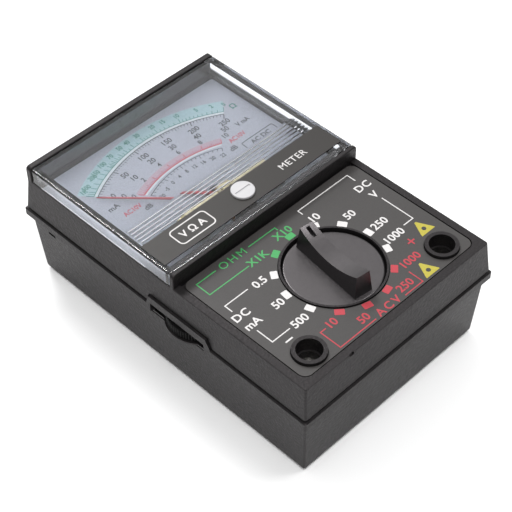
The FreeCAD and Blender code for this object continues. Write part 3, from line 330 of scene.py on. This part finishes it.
# ---- geometry tools (millimetres) ----------------------------------------------------------------
MITRE_LIMIT = 0.3                # a sharper corner of a line isn't mitred out any further
CORNER_STEPS = 6                 # of a rounded corner's quarter circle
CAP_HEIGHT = 0.729               # of the built-in font at size 1
BOLD = 0.02                      # how much letters are thickened, in the font's units
EXTRA_BOLD = 0.03
MERGE_GAP = 1e-7                 # metres; closer corners of a print become one


def add_prism(mesh, outline, layer):
    """A closed prism over a counter-clockwise outline of (x, y) points."""
    z0, z1 = layer
    low = [mesh.verts.new((x * MM, y * MM, z0 * MM)) for x, y in outline]
    high = [mesh.verts.new((x * MM, y * MM, z1 * MM)) for x, y in outline]
    mesh.faces.new(high)
    mesh.faces.new(list(reversed(low)))
    count = len(outline)
    for i in range(count):
        j = (i + 1) % count
        mesh.faces.new((low[i], low[j], high[j], high[i]))


def add_band(mesh, left, right, layer):
    """A closed band between two rails of (x, y) points, one quad per step."""
    z0, z1 = layer
    rings = []
    for (ax, ay), (bx, by) in zip(left, right):
        corners = ((ax, ay, z0), (bx, by, z0), (bx, by, z1), (ax, ay, z1))
        rings.append([mesh.verts.new((x * MM, y * MM, z * MM)) for x, y, z in corners])
    for a, b in zip(rings, rings[1:]):
        for k in range(4):
            mesh.faces.new((a[k], a[(k + 1) % 4], b[(k + 1) % 4], b[k]))
    mesh.faces.new(list(reversed(rings[0])))
    mesh.faces.new(rings[-1])


def add_stroke(mesh, points, width, layer):
    """A printed line along points, mitred at its corners."""
    path = [Vector(p) for p in points]
    left, right = [], []
    for i, here in enumerate(path):
        before = (here - path[i - 1]).normalized() if i > 0 else None
        after = (path[i + 1] - here).normalized() if i + 1 < len(path) else None
        along = ((before or after) + (after or before)).normalized()
        across = Vector((-along.y, along.x))
        reach = width / 2 / max(MITRE_LIMIT, abs(along.dot(before or after)))
        left.append(tuple(here + across * reach))
        right.append(tuple(here - across * reach))
    add_band(mesh, left, right, layer)


def add_outline_box(mesh, span_x, span_y, radius, width, layer):
    """A closed line round a rectangle with round corners."""
    (x0, x1), (y0, y1) = span_x, span_y
    left, right = [], []
    corners = ((x1 - radius, y1 - radius, 0), (x0 + radius, y1 - radius, 90),
               (x0 + radius, y0 + radius, 180), (x1 - radius, y0 + radius, 270))
    for cx, cy, start in corners:
        for k in range(CORNER_STEPS + 1):
            a = math.radians(start + 90 * k / CORNER_STEPS)
            for rail, r in ((left, radius - width / 2), (right, radius + width / 2)):
                rail.append((cx + r * math.cos(a), cy + r * math.sin(a)))
    left.append(left[0])
    right.append(right[0])
    add_band(mesh, left, right, layer)


def add_text(mesh, text, x, y, layer, height, stretch=1.0, spacing=1.0, weight=BOLD):
    """Letters as closed solids, centred on (x, y), with the given height of a capital."""
    curve = bpy.data.curves.new("glyphs", "FONT")
    curve.body = text
    curve.size = 1.0
    curve.extrude = 0.5
    curve.resolution_u = 3
    curve.space_character = spacing
    curve.offset = 0.0 if "M" in text else weight        # a thickened capital M folds over itself
    holder = bpy.data.objects.new("glyphs", curve)
    glyphs = bpy.data.meshes.new_from_object(holder)
    xs = [v.co.x for v in glyphs.vertices]
    ys = [v.co.y for v in glyphs.vertices]
    scale = height / CAP_HEIGHT
    middle_x = (min(xs) + max(xs)) / 2
    no_descender = min(ys) > -0.1
    middle_y = CAP_HEIGHT / 2 if no_descender else (min(ys) + max(ys)) / 2
    for vertex in glyphs.vertices:
        across = (vertex.co.x - middle_x) * scale * stretch
        up = (vertex.co.y - middle_y) * scale
        z = layer[0] if vertex.co.z < 0 else layer[1]
        vertex.co = ((x + across) * MM, (y + up) * MM, z * MM)
    mesh.from_mesh(glyphs)
    bpy.data.meshes.remove(glyphs)
    bpy.data.objects.remove(holder)
    bpy.data.curves.remove(curve)


def finish_piece(name, mesh, material, body):
    """Turn a bmesh into a named piece that rides on a body."""
    bmesh.ops.remove_doubles(mesh, verts=mesh.verts, dist=MERGE_GAP)
    bmesh.ops.recalc_face_normals(mesh, faces=mesh.faces)
    data = bpy.data.meshes.new(name)
    mesh.to_mesh(data)
    mesh.free()
    data.materials.append(material)
    piece = bpy.data.objects.new(name, data)
    bpy.context.scene.collection.objects.link(piece)
    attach(piece, body)


def finish_print(names, meshes):
    """One piece of print for each colour of ink, all of them on the case."""
    for colour, name in names.items():
        finish_piece(name, meshes[colour], ink(name, colour), "case")


# ---- faceplate print -------------------------------------------------------------------------------
PANEL_NAMES = {GREEN: "panel_print_green", WHITE: "panel_print_white", RED: "panel_print_red",
               YELLOW: "panel_print_yellow", DOT_BLACK: "panel_print_dots"}
# ink, text, x, y of its middle, letter spacing
PANEL_TEXT = [
    (GREEN, "OHM", -15.2, -8.4, 1.3), (GREEN, "X1K", -10.8, -12.6, 1.0), (GREEN, "X10", -0.6, -10.9, 1.0),
    (WHITE, "10", 8.9, -12.8, 1.0), (WHITE, "50", 15.6, -18.3, 1.0), (WHITE, "250", 18.5, -25.6, 1.0),
    (WHITE, "1000", 18.0, -31.0, 1.0), (WHITE, "DC", 25.4, -13.8, 1.1), (WHITE, "V", 25.2, -17.8, 1.0),
    (WHITE, "0.5", -16.0, -18.4, 1.0), (WHITE, "50", -17.7, -26.3, 1.0), (WHITE, "500", -18.0, -33.6, 1.0),
    (WHITE, "DC", -26.3, -22.7, 1.1), (WHITE, "mA", -26.1, -26.4, 1.0),
    (RED, "1000", 14.6, -39.1, 1.0), (RED, "250", 7.4, -43.6, 1.0), (RED, "50", -7.1, -43.6, 1.0),
    (RED, "10", -13.2, -39.3, 1.0), (RED, "ACV", -0.2, -45.1, 1.35),
]
TEXT_HEIGHT = 2.3
TEXT_STRETCH = 1.04
# lines that tie a group of ranges to its name
PANEL_LINES = [
    (GREEN, [(-20.6, -8.4), (-27.0, -8.4), (-27.0, -13.0), (-14.0, -13.0)]),
    (GREEN, [(-9.7, -8.4), (-0.6, -8.4), (-0.6, -9.5)]),
    (WHITE, [(7.6, -10.1), (7.6, -8.4), (25.6, -8.4), (25.6, -11.2)]),
    (WHITE, [(25.6, -20.2), (25.6, -30.4), (22.2, -30.4)]),
    (WHITE, [(-19.5, -18.1), (-27.0, -18.1), (-27.0, -20.6)]),
    (WHITE, [(-27.0, -28.7), (-27.0, -33.7), (-21.3, -33.7)]),
    (RED, [(-15.5, -39.6), (-17.3, -39.6), (-17.3, -45.9), (-5.2, -45.9)]),
    (RED, [(5.0, -45.9), (11.3, -45.9), (11.3, -41.5)]),
]
LINE_WIDTH = 0.3

MINUS_SIGN = (-23.9, -36.0)
PLUS_SIGN = (19.3, -35.3)
POLE_REACH = 1.15                # half the length of a sign's bar
POLE_WIDTH = 0.42

POSITIONS = 13                   # stops of the range switch
RANGE_INKS = [GREEN] + [WHITE] * 4 + [RED] * 4 + [WHITE] * 3 + [GREEN]
MARK_RADIUS = 14.5
MARK_RADIAL, MARK_ACROSS, MARK_CORNER = 1.8, 2.5, 0.22

TRIANGLE_PLACES = [(24.8, -36.2), (15.0, -46.0)]     # middle of the base
TRIANGLE = [(-2.35, 0.0), (2.35, 0.0), (2.2, 0.5), (0.25, 4.45), (-0.25, 4.45), (-2.2, 0.5)]
DOT_RADIUS, DOT_RISE, DOT_SIDES = 0.62, 1.55, 20


def range_mark(heading_deg):
    """Outline of a rounded bar across the radius, at a heading clockwise from +Y."""
    heading = math.radians(heading_deg)
    out = Vector((math.sin(heading), math.cos(heading)))
    side = Vector((out.y, -out.x))
    middle = Vector((0, KNOB_Y)) + out * MARK_RADIUS
    points = []
    for sx, sy, start in ((1, 1, 0), (-1, 1, 90), (-1, -1, 180), (1, -1, 270)):
        for k in range(4):
            a = math.radians(start + 30 * k)
            u = sx * (MARK_ACROSS / 2 - MARK_CORNER) + MARK_CORNER * math.cos(a)
            v = sy * (MARK_RADIAL / 2 - MARK_CORNER) + MARK_CORNER * math.sin(a)
            points.append(tuple(middle + side * u + out * v))
    return list(reversed(points))


def add_minus(mesh, place):
    x, y = place
    add_stroke(mesh, [(x - POLE_REACH, y), (x + POLE_REACH, y)], POLE_WIDTH, PANEL_LAYER)


def add_plus(mesh, place):
    """A minus with a stub on either side, so that no two solids overlap."""
    add_minus(mesh, place)
    x, y = place
    for side in (-1, 1):
        stub = [(x, y + side * POLE_WIDTH / 2), (x, y + side * POLE_REACH)]
        add_stroke(mesh, stub, POLE_WIDTH, PANEL_LAYER)


def add_warning(yellow, black, place):
    """A triangle with blunt corners and a dot in it, in place of a worded sign."""
    x, y = place
    add_prism(yellow, [(x + dx, y + dy) for dx, dy in TRIANGLE], PANEL_LAYER)
    turns = [math.tau * k / DOT_SIDES for k in range(DOT_SIDES)]
    circle = [(x + DOT_RADIUS * math.cos(a), y + DOT_RISE + DOT_RADIUS * math.sin(a)) for a in turns]
    add_prism(black, circle, DOT_LAYER)


def print_faceplate():
    meshes = {colour: bmesh.new() for colour in PANEL_NAMES}
    for colour, text, x, y, spacing in PANEL_TEXT:
        add_text(meshes[colour], text, x, y, PANEL_LAYER, TEXT_HEIGHT, TEXT_STRETCH, spacing)
    for colour, points in PANEL_LINES:
        add_stroke(meshes[colour], points, LINE_WIDTH, PANEL_LAYER)
    add_minus(meshes[WHITE], MINUS_SIGN)
    add_plus(meshes[RED], PLUS_SIGN)
    for k, colour in enumerate(RANGE_INKS):
        add_prism(meshes[colour], range_mark(360 * k / POSITIONS), PANEL_LAYER)
    for place in TRIANGLE_PLACES:
        add_warning(meshes[YELLOW], meshes[DOT_BLACK], place)
    finish_print(PANEL_NAMES, meshes)


# ---- dial print --------------------------------------------------------------------------------------
class ScaleArc:
    """A printed arc whose ticks point at the needle's pivot."""

    def __init__(self, top_y, radius):
        self.radius = radius
        self.centre_y = top_y - radius

    def point(self, heading_deg, offset=0.0):
        """Where the pivot's ray at that heading from +Y meets the arc, moved outward by offset."""
        heading = math.radians(heading_deg)
        ray = Vector((math.sin(heading), math.cos(heading)))
        start = Vector((0, PIVOT_Y - self.centre_y))
        reach = self.radius + offset
        along = start.dot(ray)
        distance = -along + math.sqrt(along * along - start.length_squared + reach * reach)
        hit = Vector((0, PIVOT_Y)) + ray * distance
        return hit.x, hit.y


DIAL_NAMES = {DIAL_BLACK: "dial_print_black", DIAL_GREEN: "dial_print_green",
              DIAL_MINT: "dial_print_mint", DIAL_RED: "dial_print_red",
              DIAL_PINK: "dial_print_pink", DIAL_PALE: "dial_print_pale"}
ARC_OHM = ScaleArc(40.5, 43.1)
ARC_MAIN = ScaleArc(39.5, 42.1)
ARC_AC = ScaleArc(27.9, 35.2)
ARC_DB = ScaleArc(26.7, 28.9)
ARC_STEPS = 60
SWEEP = 41.5                     # ohm and main scales, each side of the middle, degrees
INNER_SWEEP = 38.5               # ten-volt and decibel scales
DIVISIONS = 50                   # of the main and ten-volt scales
MAIN_ROWS = [(250, 3.2, 1.75), (50, 5.9, 1.75), (10, 8.4, 1.6)]     # full scale, drop, height
MAIN_NUMBERS = 5                 # steps between the numbers of a row
END_NUDGE = 0.8                  # keeps the first number clear of the arc's end
OHM_MIDDLE = 30                  # reading at half scale
OHM_MARKS = [*range(0, 11), *range(12, 31, 2), *range(35, 101, 5), 120, 150, 200, 300, 500, 1000, 2000]
OHM_NUMBERS = [0, 2, 5, 10, 15, 20, 30, 40, 50, 70, 100, 150, 200, 500, 1000]
AC_CURVE = 0.92                  # below 1, the ten-volt scale is wider at its low end
DB_DIVISIONS = 20
DB_NUMBERS = [-20, -5, 0, 4, 8, 12, 16, 20, 22]
# text, x, y, height, stretch
DIAL_UNITS = [("V mA", 23.6, 27.6, 1.6, 0.85), ("mA", -22.0, 27.4, 1.7, 1.0),
              ("dB", -15.6, 21.4, 1.6, 1.0), ("dB", 14.6, 21.7, 1.6, 1.0)]
LEGEND_X = (17.2, 28.4)
LEGEND_Y = (18.3, 21.4)


def heading_at(sweep, part):
    """The heading of a point of a scale, for its part of full scale."""
    return -sweep + 2 * sweep * part


def graded(k, tenth, fifth, other):
    """A tick's size, by whether its division is a tenth, a fifth or another one."""
    return tenth if k % 10 == 0 else fifth if k % 5 == 0 else other


def add_arc(mesh, arc, sweep, width, offset=0.0, layer=DIAL_LAYER):
    """A printed line along an arc, sweep degrees to either side."""
    headings = [heading_at(sweep, k / ARC_STEPS) for k in range(ARC_STEPS + 1)]
    outer = [arc.point(h, offset + width / 2) for h in headings]
    inner = [arc.point(h, offset - width / 2) for h in headings]
    add_band(mesh, outer, inner, layer)


def add_tick(mesh, arc, heading, length, width):
    """A tick from the arc outward, or inward where length is below zero."""
    add_stroke(mesh, [arc.point(heading), arc.point(heading, length)], width, DIAL_LAYER)


def print_grounds(mint, pink, pale):
    """Tinted grounds under the ohm and ten-volt scales, and the pale bands inside them."""
    add_arc(mint, ARC_MAIN, SWEEP, 4.2, 3.2, TINT_LAYER)
    add_arc(pink, ARC_AC, INNER_SWEEP, 2.0, 1.1, TINT_LAYER)
    add_arc(pale, ARC_MAIN, SWEEP, 0.8, 0.51)
    add_arc(pale, ARC_AC, INNER_SWEEP, 0.5, -0.45)


def print_main_scale(mesh):
    """Ticks inward, longest at both ends, and three rows of numbers."""
    add_arc(mesh, ARC_MAIN, SWEEP, 0.22)
    for k in range(DIVISIONS + 1):
        length = 1.9 if k in (0, DIVISIONS) else graded(k, 1.55, 1.3, 0.85)
        heading = heading_at(SWEEP, k / DIVISIONS)
        add_tick(mesh, ARC_MAIN, heading, -length, graded(k, 0.26, 0.16, 0.16))
    for full_scale, drop, height in MAIN_ROWS:
        for k in range(MAIN_NUMBERS + 1):
            x, y = ARC_MAIN.point(heading_at(SWEEP, k / MAIN_NUMBERS), -drop)
            nudge = END_NUDGE if k == 0 else 0
            label = str(full_scale * k // MAIN_NUMBERS)
            add_text(mesh, label, x + nudge, y, DIAL_LAYER, height, 0.9)


def ohm_heading(value):
    """Where an ohm reading falls: full scale at zero ohms, half at OHM_MIDDLE."""
    return heading_at(SWEEP, OHM_MIDDLE / (OHM_MIDDLE + value))


def print_ohm_scale(mesh):
    """Ticks outward, crowded towards the left."""
    add_arc(mesh, ARC_OHM, SWEEP, 0.24)
    for value in OHM_MARKS:
        add_tick(mesh, ARC_OHM, ohm_heading(value), 1.7 if value % 10 == 0 else 1.0, 0.17)
    add_tick(mesh, ARC_OHM, -SWEEP, 2.0, 0.2)
    for value in OHM_NUMBERS:
        x, y = ARC_OHM.point(ohm_heading(value), 3.0)
        label = "1K" if value == 1000 else str(value)
        add_text(mesh, label, x, y, DIAL_LAYER, 1.5, 0.8, weight=EXTRA_BOLD)
    add_text(mesh, "Ω", 26.2, 33.9, DIAL_LAYER, 1.9)


def print_ten_volt_scale(mesh):
    """Ticks outward, with the scale's name at both ends."""
    add_arc(mesh, ARC_AC, INNER_SWEEP, 0.34)
    for k in range(DIVISIONS + 1):
        heading = heading_at(INNER_SWEEP, (k / DIVISIONS) ** AC_CURVE)
        add_tick(mesh, ARC_AC, heading, graded(k, 1.5, 1.1, 0.7), graded(k, 0.24, 0.16, 0.16))
    for x, y in ((-19.2, 23.4), (18.3, 24.2)):
        add_text(mesh, "AC10V", x, y, DIAL_LAYER, 1.6, 0.85)


def print_decibel_scale(mesh):
    """Ticks inward, numbers below them."""
    add_arc(mesh, ARC_DB, INNER_SWEEP, 0.2)
    for k in range(DB_DIVISIONS + 1):
        heading = heading_at(INNER_SWEEP, k / DB_DIVISIONS)
        add_tick(mesh, ARC_DB, heading, -1.3 if k % 5 == 0 else -0.8, 0.18)
    for k, value in enumerate(DB_NUMBERS):
        x, y = ARC_DB.point(heading_at(INNER_SWEEP, k / (len(DB_NUMBERS) - 1)), -2.7)
        add_text(mesh, str(value), x, y, DIAL_LAYER, 1.3, 0.85)


def print_legends(mesh):
    """Units, a plain legend box and a short line."""
    for text, x, y, height, stretch in DIAL_UNITS:
        add_text(mesh, text, x, y, DIAL_LAYER, height, stretch)
    add_outline_box(mesh, LEGEND_X, LEGEND_Y, 0.5, 0.26, DIAL_LAYER)
    x, y = sum(LEGEND_X) / 2, sum(LEGEND_Y) / 2
    add_text(mesh, "AC DC", x, y, DIAL_LAYER, 1.6, weight=EXTRA_BOLD)
    add_stroke(mesh, [(-20.4, 18.4), (-14.4, 18.4)], 0.14, DIAL_LAYER)


def print_dial():
    meshes = {colour: bmesh.new() for colour in DIAL_NAMES}
    print_grounds(meshes[DIAL_MINT], meshes[DIAL_PINK], meshes[DIAL_PALE])
    print_main_scale(meshes[DIAL_BLACK])
    print_ohm_scale(meshes[DIAL_GREEN])
    print_ten_volt_scale(meshes[DIAL_RED])
    print_decibel_scale(meshes[DIAL_BLACK])
    print_legends(meshes[DIAL_BLACK])
    finish_print(DIAL_NAMES, meshes)


# ---- label strip print -------------------------------------------------------------------------------
PLATE_X = (-23.0, -11.6)
PLATE_Y = (STRIP_Y - 2.5, STRIP_Y + 2.9)


def print_strip():
    """A plain plate of units on the left and a generic word on the right."""
    mesh = bmesh.new()
    add_outline_box(mesh, PLATE_X, PLATE_Y, 1.2, 0.34, STRIP_LAYER)
    add_text(mesh, "V Ω A", sum(PLATE_X) / 2, sum(PLATE_Y) / 2, STRIP_LAYER, 2.2)
    add_text(mesh, "METER", 16.9, STRIP_Y - 0.2, STRIP_LAYER, 2.1, spacing=1.1)
    finish_piece("strip_print_white", mesh, ink("strip_print_white", WHITE), "case")


# ---- rounded edges -----------------------------------------------------------------------------------
KNOB_EDGE = 0.16                 # width of the knob's rounded edges
EDGE_SEGMENTS = 2
SHARP_DEG = 30.0                 # an edge that turns by more than this is rounded
WELD_GAP = 1e-6                  # metres


def soften(node, width_mm):
    """Round a CAD node's sharp edges with modifiers; the node's own mesh stays as it is."""
    piece = frame["nodes"][node]
    weld = piece.modifiers.new("weld", "WELD")
    weld.merge_threshold = WELD_GAP
    bevel = piece.modifiers.new("edge_round", "BEVEL")
    bevel.width = width_mm * MM
    bevel.segments = EDGE_SEGMENTS
    bevel.limit_method = "ANGLE"
    bevel.angle_limit = math.radians(SHARP_DEG)
    bevel.use_clamp_overlap = True
    normals = piece.modifiers.new("normals", "WEIGHTED_NORMAL")
    normals.keep_sharp = False


# ---- stage (metres) ----------------------------------------------------------------------------------
FLOOR_HALF = 3.0
FLOOR_DROP = 0.0002              # the floor lies this far under the part
SKY_BRIGHTEST = (0.25, 0.55, 0.80)
SKY_LEVELS = ((0.25, 0.012), (0.90, 1.05))   # cosine to the brightest direction, level
# name, place, side and power of each softbox
SOFTBOXES = [
    ("back", (0.16, 0.57, 0.75), 0.22, 3.8),
    ("front", (-0.32, -0.30, 0.88), 0.50, 6.4),
    ("edge", (0.33, -0.30, 0.85), 0.28, 2.3),
]
SOFTBOX_TARGET = Vector((0, 0, 0.02))

CAMERA_AZIMUTH = -44.15          # degrees; below zero is to the left of the front
CAMERA_ELEVATION = 46.44
CAMERA_ROLL = -1.09
CAMERA_DISTANCE = 0.4001
CAMERA_LENS_MM, CAMERA_SENSOR_MM = 103.7, 36.0
CAMERA_AIM = (0.0115, 0.0103)    # from the middle of the part to what the camera looks at
CAMERA_CLIP = (0.01, 20.0)


def add_softbox(name, place, side, power):
    lamp = bpy.data.lights.new(name, "AREA")
    lamp.shape = "SQUARE"
    lamp.size = side
    lamp.energy = power
    piece = bpy.data.objects.new(name, lamp)
    piece.location = place
    piece.rotation_mode = "QUATERNION"
    piece.rotation_quaternion = (SOFTBOX_TARGET - piece.location).to_track_quat("-Z", "Y")
    bpy.context.scene.collection.objects.link(piece)


def make_sky():
    """Studio surround: bright overhead and behind, dim towards the front left."""
    world = bpy.data.worlds.new("studio")
    world.use_nodes = True
    tree = world.node_tree
    place = tree.nodes.new("ShaderNodeTexCoord")
    along = tree.nodes.new("ShaderNodeVectorMath")
    along.operation = "DOT_PRODUCT"
    along.inputs[1].default_value = Vector(SKY_BRIGHTEST).normalized()
    tree.links.new(place.outputs["Generated"], along.inputs[0])
    ramp = tree.nodes.new("ShaderNodeValToRGB")
    for element, (position, level) in zip(ramp.color_ramp.elements, SKY_LEVELS):
        element.position = position
        element.color = (level, level, level, 1)
    tree.links.new(along.outputs["Value"], ramp.inputs["Fac"])
    tree.links.new(ramp.outputs["Color"], tree.nodes["Background"].inputs["Color"])
    bpy.context.scene.world = world


def make_floor():
    mesh = bmesh.new()
    corners = ((-1, -1), (1, -1), (1, 1), (-1, 1))
    mesh.faces.new([mesh.verts.new((x * FLOOR_HALF, y * FLOOR_HALF, 0)) for x, y in corners])
    data = bpy.data.meshes.new("floor")
    mesh.to_mesh(data)
    mesh.free()
    floor = bpy.data.objects.new("floor", data)
    shader = Shader("floor_card", FLOOR_WHITE, 0.85)
    shader.mottle(FLOOR_WHITE, shader.noise(300.0, 2.0), 0.01)
    data.materials.append(shader.material)
    floor.location = (0, 0, cad_box[0].z - FLOOR_DROP)
    bpy.context.scene.collection.objects.link(floor)


def make_stage():
    make_floor()
    make_sky()
    for softbox in SOFTBOXES:
        add_softbox(*softbox)
    bpy.context.scene.view_settings.view_transform = "Standard"


def make_camera():
    """Seen from the front left and above, with a long lens."""
    azimuth = math.radians(CAMERA_AZIMUTH)
    elevation = math.radians(CAMERA_ELEVATION)
    level = math.cos(elevation)
    back = Vector((math.sin(azimuth) * level, -math.cos(azimuth) * level, math.sin(elevation)))
    middle = (cad_box[0] + cad_box[1]) / 2
    target = Vector((middle.x + CAMERA_AIM[0], middle.y + CAMERA_AIM[1], 0))
    data = bpy.data.cameras.new("camera")
    data.lens, data.sensor_width = CAMERA_LENS_MM, CAMERA_SENSOR_MM
    data.clip_start, data.clip_end = CAMERA_CLIP
    camera = bpy.data.objects.new("camera", data)
    camera.location = target + back * CAMERA_DISTANCE
    roll = Matrix.Rotation(math.radians(CAMERA_ROLL), 3, "Z").to_quaternion()
    camera.rotation_mode = "QUATERNION"
    camera.rotation_quaternion = (-back).to_track_quat("-Z", "Y") @ roll
    bpy.context.scene.collection.objects.link(camera)
    bpy.context.scene.camera = camera


make_camera()
make_stage()
dress_frame()
print_faceplate()
print_dial()
print_strip()
soften("selector_knob", KNOB_EDGE)
